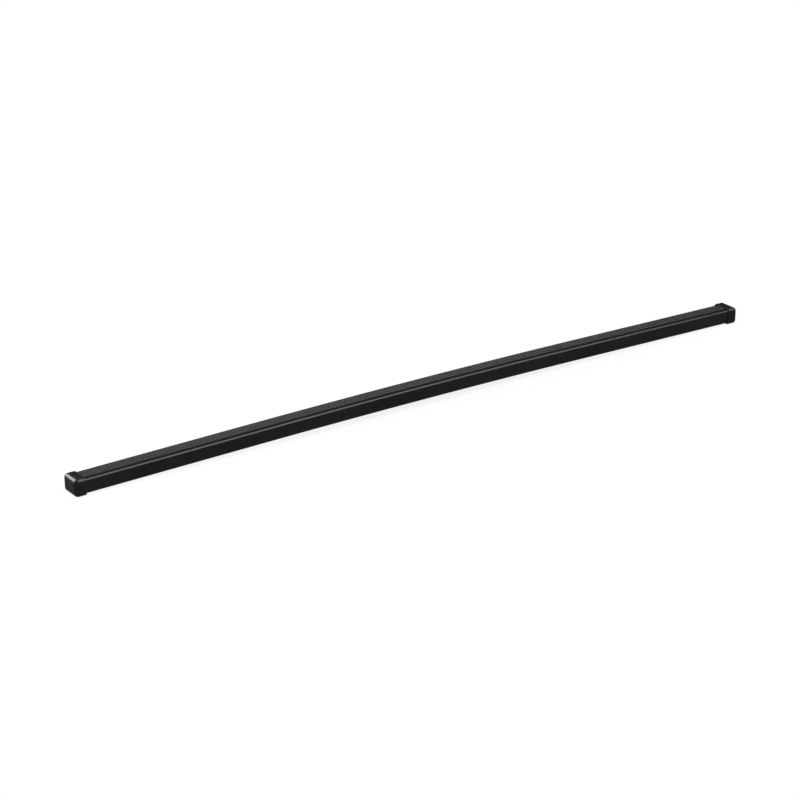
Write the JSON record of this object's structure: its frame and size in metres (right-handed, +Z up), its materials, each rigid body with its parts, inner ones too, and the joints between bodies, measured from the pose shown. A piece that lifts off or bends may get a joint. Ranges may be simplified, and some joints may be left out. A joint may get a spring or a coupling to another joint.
{
  "type": "roof rack crossbar",
  "caption": "Cambered rectangular roof rack crossbar: steel tube in a black plastic jacket with grip ribs along the top and moulded push-on end caps.",
  "frame": {"origin": "under the middle of the bar, on the surface that its two end caps lie on", "axes": "+X along the bar, +Z up through the crown of its camber, so that the ribbed side faces +Z"},
  "size_m": [1.1868, 0.0364, 0.0325],
  "materials": {
    "tube_steel": "satin",
    "jacket_plastic": "satin",
    "cap_plastic": "satin"
  },
  "bodies": {
    "root": {"steel_tube": "tube_steel", "ribbed_jacket": "jacket_plastic", "left_end_cap": "cap_plastic", "right_end_cap": "cap_plastic"}
  },
  "joints": []
}
